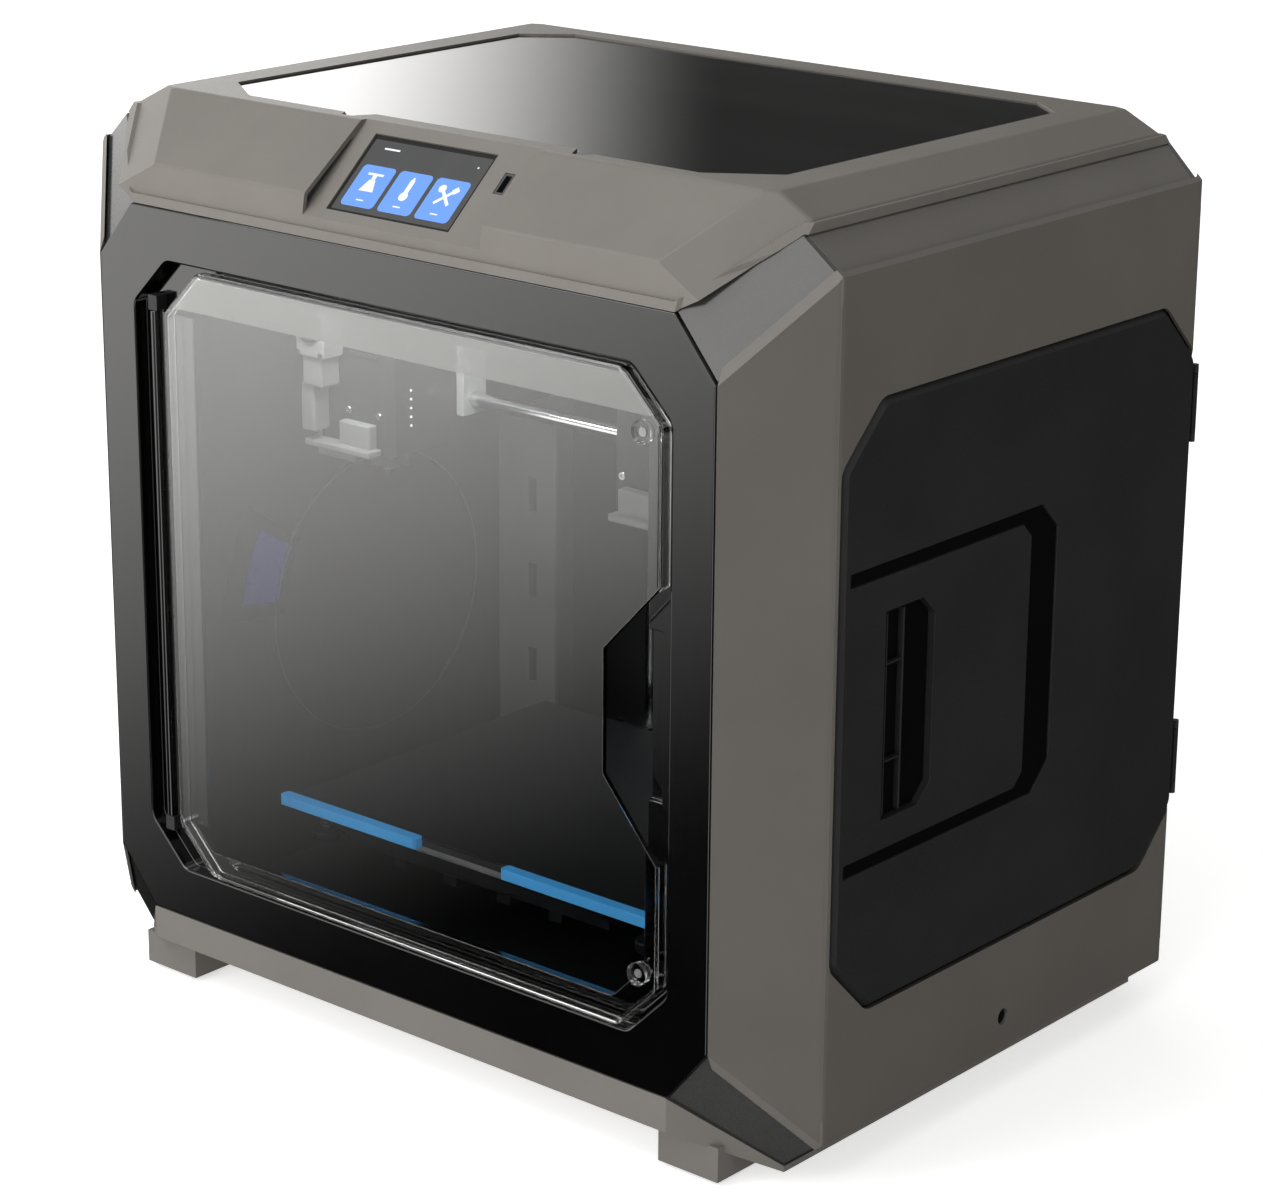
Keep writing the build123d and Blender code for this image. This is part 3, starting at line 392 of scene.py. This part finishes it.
def touch_screen_picture():
    """A dark page with three plain tiles: a part on a plate, a thermometer and crossed tools."""
    page = bmesh.new()
    screen_shape(page, rounded(99.5, 55.5, 1.0), SCREEN_U, 34.8, GLASS_TOP, PAGE_TOP)
    piece("screen_page", page, "case", "screen", material="screen_page")
    tiles = bmesh.new()
    for k in (-1, 0, 1):
        screen_shape(tiles, rounded(28.0, 32.0, 3.2), SCREEN_U + TILE_PITCH * k, 27.0,
                     PAGE_TOP, TILE_TOP)
    piece("screen_tiles", tiles, "case", "screen", material="screen_tile")
    signs = bmesh.new()

    def sign(points, k, v):
        screen_shape(signs, points, SCREEN_U + TILE_PITCH * k, v, TILE_TOP, SIGN_TOP)

    sign(box2(13, 1.6), -1, 36.5)
    sign([(-1.6, 0), (1.6, 0), (1.6, 3.2), (-1.6, 3.2)], -1, 32.6)
    sign([(-6.0, -9), (6.0, -9), (2.4, 0), (-2.4, 0)], -1, 32.2)
    sign(rounded(3.6, 13, 1.8), 0, 31.5)
    sign(circle2(3.4), 0, 24.5)
    sign(box2(1.6, 1.0), 0, 38.6)
    sign(turned(box2(2.2, 16.5), 45), 1, 29.8)
    sign(turned(box2(2.2, 16.5), -45), 1, 29.8)
    sign(turned(circle2(2.9), 0, -5.6, 5.6), 1, 29.8)
    sign(turned(box2(4.6, 4.0), 45, 5.6, 5.6), 1, 29.8)
    for k in (-1, 0, 1):
        sign(box2(6.0, 0.9), k, 16.2)
    sign(box2(13, 1.3), -1, 56.5)
    sign(circle2(0.7, 10), 1.35, 54.5)
    piece("screen_signs", signs, "case", "screen", material="screen_sign")


# ---------------------------------------------------------------- front door and lid

def door_band():
    """Frosted band moulded into the door's top, on its inner face."""
    bm = bmesh.new()
    inner_face = box_mm("door_panel")[2] + 3.55
    outline = [(-189, 487), (218.5, 487), (197, 509), (-167, 509)]
    prism(bm, [P(x, inner_face, z) for x, z in outline], Vector((0, 0.35 * MM, 0)))
    piece("door_band", bm, "front_door", "clear_door", material="frosted")


def door_fixings():
    """Screws in the door's two right-hand bosses."""
    x1 = box_mm("door_panel")[1]
    back = box_mm("door_panel")[3]
    bm = bmesh.new()
    for z in (135, 476):
        centre = P(x1 - 17, back, z)
        lathe(bm, [(0, -1.6), (0.8, -1.6), (0.8, 0.0), (1.6, 0.0), (2.5, -0.5), (2.8, -1.4),
                   (2.8, -2.0), (0, -2.0)], centre, (0, 1, 0), 24)
    piece("door_fixings", bm, "front_door", "steel")


def door_inlays(side, body):
    """Matt black linings of the spool door's hook-shaped groove and its pocket, and its ribs."""
    face = box_mm("right_side_door")[1]
    lining = Vector((side * 0.3 * MM, 0, 0))

    def sheet(depth, outline):
        prism(bm, [P(side * (face - depth), y, z) for y, z in outline], lining)

    bm = bmesh.new()
    sheet(1.58, [(63.4, 204.3), (259.4, 204.3), (277.2, 222.1), (277.2, 377.5), (259.4, 395.3),
                 (63.4, 395.3), (63.4, 387.0), (239.4, 387.0), (248.8, 377.6), (248.8, 222.0),
                 (239.4, 212.6), (63.4, 212.6)])
    sheet(5.36, [(99.3, 232.3), (136.3, 232.3), (148.1, 244.1), (148.1, 352.4), (136.3, 364.2),
                 (99.3, 364.2)])
    piece(body + "_inlay", bm, body, "door_black", material="inlay")
    ribs = bmesh.new()
    a, b = sorted((side * (face - 5.2), side * (face - 0.9)))
    bar(ribs, a, b, 117.6, 119.0, 234, 362.6)
    bar(ribs, a, b, 101.2, 102.2, 234, 362.6)
    for z in (268.0, 330.0):
        bar(ribs, a, b, 101.2, 117.6, z, z + 1.2)
    piece(body + "_pocket_ribs", ribs, body, "door_black", 0.3)


def lid_blocks():
    """Clear blocks under the lid's back corners that locate it in the cover."""
    x1, y1, z0 = (box_mm("top_lid")[k] for k in (1, 3, 4))
    back = y1 - 18
    bm = bmesh.new()
    for sx in (1, -1):
        for inset, depth in ((30, 9), (19, 5)):
            a, b = sorted((sx * (x1 - inset), sx * (x1 - inset + 6)))
            bar(bm, a, b, back - depth, back, z0 - 5, z0 - 0.02)
    piece("lid_blocks", bm, "lid", "smoked_lid", 0.6, "clear_bits")


def lid_edge_highlights():
    """Painted highlight: thin glowing strips along the cut edges of the lid's finger notches,
    standing in for the light that the clear edges catch.
    """
    y0, z0, z1 = (box_mm("top_lid")[k] for k in (2, 4, 5))
    notch = y0 + 7                              # the lid's front edge is set back this far there
    bm = bmesh.new()
    for x0, x1 in ((-188, -106), (110, 188)):
        bar(bm, x0, x1, notch - 0.5, notch - 0.02, z0 + 0.4, z1 - 0.5)
    piece("lid_edge_highlights", bm, "lid", "smoked_lid", material="painted_edge_highlight")


# ---------------------------------------------------------------- inside the chamber

def wall_window():
    """Ring on the left chamber wall, as wide as the reel behind it, and a curved window."""
    wall = box_mm("left_chamber_wall")[1]
    reel = box_mm("left_spool")
    reel_y = (reel[2] + reel[3]) / 2
    reel_z = (reel[4] + reel[5]) / 2
    bm = bmesh.new()
    lathe(bm, [(101, 0), (103, 0), (103, 0.8), (102.5, 1.2), (101.5, 1.2), (101, 0.8)],
          P(wall, reel_y, reel_z), (1, 0, 0), 128)
    piece("wall_ring", bm, "case", "wall_dark", material="wall_trim")

    def arc(x, r0, r1, a0, a1, steps=14):
        """A curved strip between two radii and two angles, in degrees, about the reel's axis."""
        outer = [(r1, a0 + (a1 - a0) * k / steps) for k in range(steps + 1)]
        inner = [(r0, a1 - (a1 - a0) * k / steps) for k in range(steps + 1)]
        return [P(x, reel_y + r * math.cos(math.radians(a)), reel_z + r * math.sin(math.radians(a)))
                for r, a in outer + inner]

    frame_thick = 0.8
    surround = bmesh.new()
    prism(surround, arc(wall, 92, 152, 144, 176), Vector((frame_thick * MM, 0, 0)))
    piece("window_frame", surround, "case", "wall_dark", 0.3, "gloss_black")
    glass = bmesh.new()
    prism(glass, arc(wall + frame_thick, 99, 133, 148, 171), Vector((0.3 * MM, 0, 0)))
    piece("window_reel", glass, "case", "filament", material="window_reel")


def head_details(side, body):
    """Blower and its duct, grille, screws, lamp dots and brass nozzle on one print head."""
    cx = side * 130.0                           # the nozzle's place across the printer

    def sx(x0, x1):
        """From and to, measured from the nozzle towards the head's outer side."""
        return sorted((cx + side * x0, cx + side * x1))

    grey = bmesh.new()
    bar(grey, *sx(8, 34), 84, 102.6, 444, 486)
    bar(grey, *sx(12, 30), 86, 102.6, 424, 444)
    bar(grey, *sx(-22, 6), 95, 102.6, 384, 402)
    bar(grey, *sx(22, 34), 88, 102.6, 392, 424)
    bar(grey, *sx(-26, 34), 90, 102.6, 381, 386)
    piece(body + "_duct", grey, body, "grey_plastic", 1.2)
    dark = bmesh.new()
    lathe(dark, [(0, 0.6), (8.6, 0.6), (8.6, 0), (11.6, 0), (11.6, 1.4), (10.2, 2.0), (9.4, 1.4),
                 (4.0, 1.4), (3.4, 2.0), (0, 2.0)], P(cx + side * 21, 84, 466), (0, -1, 0), 36)
    for k in range(7):
        bar(dark, *sx(-24, 4), 101.4, 103.0, 446 + 6 * k, 448.6 + 6 * k)
    piece(body + "_grille", dark, body, "dark_plastic", 0.3)
    metal = bmesh.new()
    for x, z in ((-24, 491), (4, 491), (-24, 408), (4, 408)):
        lathe(metal, [(0, 0.7), (1.0, 0.7), (1.0, 1.5), (2.4, 1.5), (2.9, 0.8), (2.9, 0), (0, 0)],
              P(cx + side * x, 102.8, z), (0, -1, 0), 20)
    for x, z in ((11, 484), (31, 484), (11, 447), (31, 447)):
        lathe(metal, [(0, 0.5), (0.8, 0.5), (0.8, 1.1), (1.7, 1.1), (1.9, 0), (0, 0)],
              P(cx + side * x, 84, z), (0, -1, 0), 16)
    piece(body + "_screws", metal, body, "zinc")
    dots = bmesh.new()
    inner = cx - side * 34.4
    for k in range(5):
        lathe(dots, [(0, 0), (0.8, 0), (0.8, 0.5), (0, 0.5)], P(inner, 122, 424 - 6 * k),
              (-side, 0, 0), 12)
    piece(body + "_lamps", dots, body, "led", material="lamp_dot")
    brass = bmesh.new()
    lathe(brass, [(0, 0.1), (0.5, 0.1), (3.2, 3.6), (3.9, 3.8), (3.9, 7.0), (3.2, 7.3), (0, 7.3)],
          P(cx, 135, 358), (0, 0, 1), 6)
    piece(body + "_nozzle", brass, body, "brass", 0.15)


def cable_chain():
    """Links of the flat chain that carries the heads' wiring along the moving beam."""
    bm = bmesh.new()
    links = 30
    pitch = 11.8
    first = -172.0
    for k in range(links):
        x = first + pitch * k
        bar(bm, x, x + 9.6, 201, 205.5, 440, 462)
        bar(bm, x + 1.6, x + 8.0, 199.2, 201, 438.4, 442)
        bar(bm, x + 1.6, x + 8.0, 199.2, 201, 460, 463.6)
        bar(bm, x + 8.6, x + pitch + 1.0, 202, 204.6, 446, 456)
    bar(bm, -190, first, 196.2, 205, 438, 464)
    bar(bm, 182.6, 190, 196.2, 205, 438, 464)
    piece("cable_chain", bm, "gantry", "dark_plastic", 0.35)


def bed_details():
    """Levelling knobs with springs and the rails under the heater, and the plate's front lip."""
    x0, x1, y0, y1, under, _ = box_mm("heater_plate")
    knobs = bmesh.new()
    springs = bmesh.new()
    pin = 1.4
    for x in (x0 + 11, x1 - 11):
        for y in (y0 + 12, y1 - 14):
            lathe(knobs, [(0, 0), (9.0, 0), (10.0, 1.0), (10.0, 7.0), (9.0, 8.0), (4.0, 8.0),
                          (4.0, 10.0), (0, 10.0)], P(x, y, under - 20.2), (0, 0, 1), 16)
            for k in range(4):
                lathe(springs, [(3.4, 0), (4.4, 0), (4.4, 1.0), (3.4, 1.0)],
                      P(x, y, under - 9.8 + 2.4 * k), (0, 0, 1), 24)
            bar(springs, x - pin, x + pin, y - pin, y + pin, under - 11.2, under - 0.1)
    piece("bed_knobs", knobs, "platform", "dark_plastic", 0.4)
    piece("bed_springs", springs, "platform", "steel")
    rails = bmesh.new()
    rail_x = 118
    front = y0 + 4
    for x in (-rail_x, rail_x):
        bar(rails, x - 7, x + 7, front, y1 + 12, under - 6.2, under - 0.1)
    bar(rails, -rail_x, rail_x, front, front + 14, under - 12.2, under - 0.3)
    for x in (-70, -24, 24, 70):
        bar(rails, x - 6, x + 6, front + 2, front + 30, under - 20.2, under - 12.2)
    piece("bed_frame", rails, "platform", "black_metal", 0.6)
    plate_y0, plate_top = (box_mm("build_plate")[k] for k in (2, 5))
    lip = bmesh.new()
    bar(lip, -36.5, 36.5, plate_y0 - 3.5, plate_y0 - 0.1, plate_top - 5.0, plate_top - 0.4)
    piece("plate_lip", lip, "platform", "plate", 0.4)


def inlet_pins():
    """The mains inlet's three flat pins."""
    bm = bmesh.new()
    for x, z in ((-192.5, 103), (-181.5, 103), (-187, 109)):
        bar(bm, x - 1.1, x + 1.1, 462, 475, z - 2.4, z + 2.4)
    piece("inlet_pins", bm, "case", "zinc", 0.3)


def extra_materials():
    """Finishes of the made pieces that no CAD slot has."""
    M["screen_page"] = glow("screen_page", (0.3, 0.31, 0.32), 0.12)
    M["screen_tile"] = glow("screen_tile", (0.14, 0.36, 0.95), 1.0)
    M["screen_sign"] = glow("screen_sign", (0.9, 0.95, 1.0), 1.1)
    M["lamp_dot"] = glow("lamp_dot", (0.9, 0.95, 1.0), 1.2, (0.4, 0.4, 0.4))
    # The lid's notch edges glow: a painted highlight for the light caught in the clear plastic's
    # edges.
    M["painted_edge_highlight"] = glow("painted_edge_highlight", (0.9, 0.9, 0.88), 0.5, (0.8, 0.8, 0.8))
    M["clear_bits"] = clear("clear_bits", (0.95, 0.95, 0.95), 0.02)
    M["wall_trim"] = surface("wall_trim", (0.09, 0.09, 0.088), 0.35, metallic=0.4)
    M["window_reel"] = surface("window_reel", (0.06, 0.07, 0.42), 0.3, grain=560,
                               grain_depth=0.0004)
    n = Nodes("frosted")
    bsdf = n.add("ShaderNodeBsdfPrincipled")
    bsdf.inputs["Base Color"].default_value = (0.62, 0.62, 0.6, 1)
    bsdf.inputs["Alpha"].default_value = 0.55
    n.link(n.ramp(n.noise(500.0), 0.45, 0.6), bsdf.inputs["Roughness"])
    n.link(n.bump(n.noise(2500.0), 0.3, 0.00003), bsdf.inputs["Normal"])
    n.link(bsdf.outputs["BSDF"], n.out.inputs["Surface"])
    M["frosted"] = n.mat


extra_materials()
touch_screen_picture()
door_band()
door_fixings()
door_inlays(1, "right_door")
door_inlays(-1, "left_door")
lid_blocks()
lid_edge_highlights()
wall_window()
head_details(-1, "left_head")
head_details(1, "right_head")
cable_chain()
bed_details()
inlet_pins()


# ---------------------------------------------------------------- stage, light and camera

def studio_world():
    """Soft light from above, with panels to reflect: behind to the left and low in front."""
    world = bpy.data.worlds.new("studio")
    scene.world = world
    world.use_nodes = True
    tree = world.node_tree
    tree.nodes.clear()

    def node(kind, **inputs):
        made = tree.nodes.new(kind)
        for key, value in inputs.items():
            made.inputs[key.replace("_", " ")].default_value = value
        return made

    def math_node(operation, a, b):
        made = tree.nodes.new("ShaderNodeMath")
        made.operation = operation
        for socket, value in zip(made.inputs, (a, b)):
            if isinstance(value, float):
                socket.default_value = value
            else:
                tree.links.new(value, socket)
        return made.outputs[0]

    def span(value, lo, hi, a, b):
        """Runs smoothly from a, where the value is lo, to b, where it is hi."""
        made = node("ShaderNodeMapRange", From_Min=lo, From_Max=hi, To_Min=a, To_Max=b)
        made.interpolation_type = "SMOOTHSTEP"
        tree.links.new(value, made.inputs["Value"])
        return made.outputs["Result"]

    coords = tree.nodes.new("ShaderNodeTexCoord")
    split = tree.nodes.new("ShaderNodeSeparateXYZ")
    tree.links.new(coords.outputs["Generated"], split.inputs[0])
    x, y, z = split.outputs
    # Overall light: none from below, and less from the right.
    base = math_node("MULTIPLY", span(z, -0.37, -0.1, 0.0, 1.0), span(x, -0.2, 0.5, 0.56, 0.25))
    # A panel low in front, to the left: it fades towards the floor and to the right.
    fall = math_node("ADD", z, math_node("MULTIPLY", x, -0.5))
    front = math_node("MULTIPLY", span(fall, -0.08, 0.16, 0.0, 1.72),
                      span(y, -0.5, -0.2, 1.0, 0.0))
    front = math_node("MULTIPLY", front, span(z, 0.02, 0.3, 1.0, 0.0))
    front = math_node("MULTIPLY", front, span(x, -0.35, 0.0, 1.0, 0.0))
    # Behind the object a panel is bright to the left and fades out to the right.
    across = math_node("DIVIDE", math_node("MULTIPLY", x, -1.0), math_node("MAXIMUM", y, 0.001))
    panel = span(across, 0.81, 1.09, 0.0, 3.2)
    behind = math_node("MULTIPLY", span(y, 0.0, 0.25, 0.0, 1.0), span(z, 0.34, 0.5, 1.0, 0.0))
    keep = math_node("SUBTRACT", 1.0, math_node("MULTIPLY", behind, 0.9))
    panel = math_node("MULTIPLY", panel, behind)
    panel = math_node("MULTIPLY", panel, span(z, -0.05, 0.08, 0.0, 1.0))
    # A narrow upright strip to the right draws a line of light along the upright edges.
    strip = math_node("MULTIPLY", span(y, -0.06, 0.08, 0.0, 1.0), span(y, 0.1, 0.26, 1.0, 0.0))
    strip = math_node("MULTIPLY", strip, span(x, 0.6, 0.8, 0.0, 2.2))
    total = math_node("ADD", math_node("MULTIPLY", base, keep), math_node("ADD", panel, front))
    total = math_node("ADD", total, strip)
    # Another one in front does the same for the edges that face forward.
    edge = math_node("MULTIPLY", span(x, 0.02, 0.12, 0.0, 1.0), span(x, 0.28, 0.4, 1.0, 0.0))
    edge = math_node("MULTIPLY", edge, span(y, -0.6, -0.4, 2.4, 0.0))
    total = math_node("ADD", total, edge)
    # The camera sees a plain pale background instead.
    light = tree.nodes.new("ShaderNodeBackground")
    tree.links.new(total, light.inputs["Strength"])
    light.inputs["Color"].default_value = (1.0, 0.99, 0.975, 1)
    seen = node("ShaderNodeBackground", Color=(0.97, 0.97, 0.97, 1), Strength=1.0)
    path = tree.nodes.new("ShaderNodeLightPath")
    mix = tree.nodes.new("ShaderNodeMixShader")
    tree.links.new(path.outputs["Is Camera Ray"], mix.inputs[0])
    tree.links.new(light.outputs[0], mix.inputs[1])
    tree.links.new(seen.outputs[0], mix.inputs[2])
    out = tree.nodes.new("ShaderNodeOutputWorld")
    tree.links.new(mix.outputs[0], out.inputs["Surface"])


def floor():
    """A round pale floor, which gives off light so that it reads as white paper."""
    mesh = bpy.data.meshes.new("floor")
    bm = bmesh.new()
    bmesh.ops.create_circle(bm, cap_ends=True, radius=14.0, segments=96)
    bm.to_mesh(mesh)
    bm.free()
    ob = bpy.data.objects.new("floor", mesh)
    scene.collection.objects.link(ob)
    ob.location.z = -0.0005
    paper = surface("floor", (0.84, 0.84, 0.84), 0.8, spread=0.004, grain=300, grain_depth=0.0,
                    patch=1.0)
    shader = next(n for n in paper.node_tree.nodes if n.type == "BSDF_PRINCIPLED")
    shader.inputs["Emission Color"].default_value = (1, 1, 1, 1)
    shader.inputs["Emission Strength"].default_value = 0.62
    ob.data.materials.append(paper)
    ob.visible_glossy = False
    ob.visible_transmission = False


def lamp(name, place, aim, size, watts, colour=(1, 1, 1), size_y=None, spread=180.0):
    """A soft rectangular light at one point, facing another."""
    data = bpy.data.lights.new(name, "AREA")
    data.shape = "RECTANGLE"
    data.size = size
    data.size_y = size_y or size
    data.energy = watts
    data.color = colour
    data.spread = math.radians(spread)
    ob = bpy.data.objects.new(name, data)
    scene.collection.objects.link(ob)
    ob.location = Vector(place)
    ob.rotation_mode = "QUATERNION"
    ob.rotation_quaternion = (Vector(aim) - Vector(place)).to_track_quat("-Z", "Y")


studio_world()
floor()
lamp("top_light", (-0.85, -1.2, 2.1), (0, 0, 0.4), 1.5, 27)
lamp("left_light", (-0.7, -2.7, 1.3), (0, 0, 0.4), 1.2, 20)
lamp("right_light", (2.6, -0.6, 1.2), (0, 0, 0.3), 1.4, 1.5)
# The light strip over the chamber's door lights the inside.
lamp("inside_light", P(0, 70, 538), P(-40, 280, 400), 0.32, 0.6, (0.93, 0.97, 1.0), 0.03, 120.0)

# The camera, with no shift and no depth of field
AZIMUTH = math.radians(40.45)
ELEVATION = math.radians(17.913)
ROLL = math.radians(0.42)
CAMERA_AT = (1.52077, -1.78621, 1.0294)
LENS = 103.36
forward = Vector((-math.sin(AZIMUTH) * math.cos(ELEVATION),
                  math.cos(AZIMUTH) * math.cos(ELEVATION), -math.sin(ELEVATION)))
level_right = forward.cross(Vector((0, 0, 1))).normalized()
level_up = level_right.cross(forward)
right = level_right * math.cos(ROLL) + level_up * math.sin(ROLL)
up = right.cross(forward)
camera = bpy.data.objects.new("camera", bpy.data.cameras.new("camera"))
scene.collection.objects.link(camera)
camera.data.sensor_width = 36
camera.data.lens = LENS
camera.data.clip_start = 0.05
camera.data.clip_end = 100
camera.matrix_world = Matrix((
    (right.x, up.x, -forward.x, CAMERA_AT[0]),
    (right.y, up.y, -forward.y, CAMERA_AT[1]),
    (right.z, up.z, -forward.z, CAMERA_AT[2]),
    (0, 0, 0, 1)))
scene.camera = camera
scene.view_settings.view_transform = "Standard"
